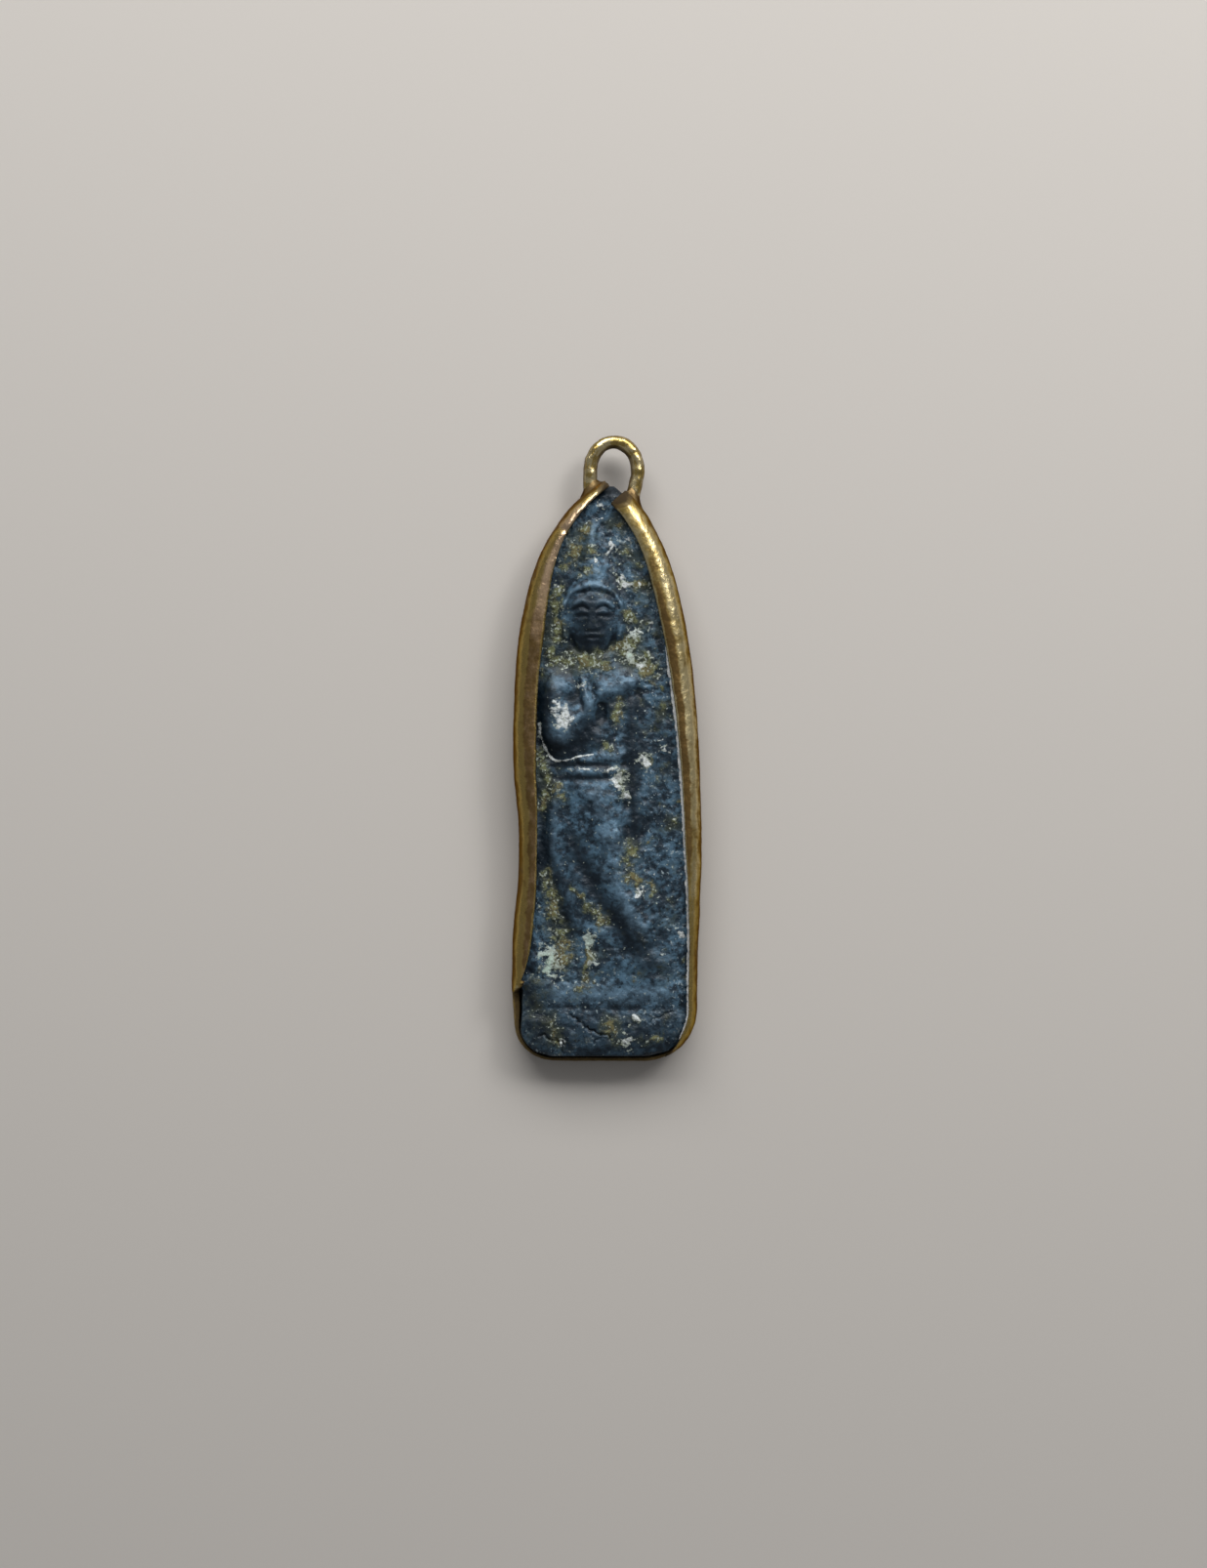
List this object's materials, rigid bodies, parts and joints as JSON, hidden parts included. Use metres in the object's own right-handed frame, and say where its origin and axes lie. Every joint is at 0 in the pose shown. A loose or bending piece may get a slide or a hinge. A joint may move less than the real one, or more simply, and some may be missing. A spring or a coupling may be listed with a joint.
{
  "type": "amulet pendant",
  "caption": "Pointed-arch cast lead amulet tablet with a walking figure in low relief, gripped by a bent brass channel rim with a soldered wire hanging loop.",
  "frame": {"origin": "under the middle of the amulet's box, on the surface that its back lies on", "axes": "+Y up the amulet from its base to the hanging loop, +Z out of the figure's face, +X to the right of a viewer who faces the figure"},
  "size_m": [0.0208, 0.0682, 0.0053],
  "materials": {
    "lead": "dark blue-grey lead alloy, worn, with ochre and pale deposits in its hollows",
    "brass": "satin antique brass, browned, worn bright on its ridges",
    "solder": "dull brass solder"
  },
  "bodies": {
    "root": {"lead_tablet": "lead", "rim_channel": "brass", "bail_loop": "brass", "left_solder_fillet": "solder", "right_solder_fillet": "solder"}
  },
  "joints": []
}
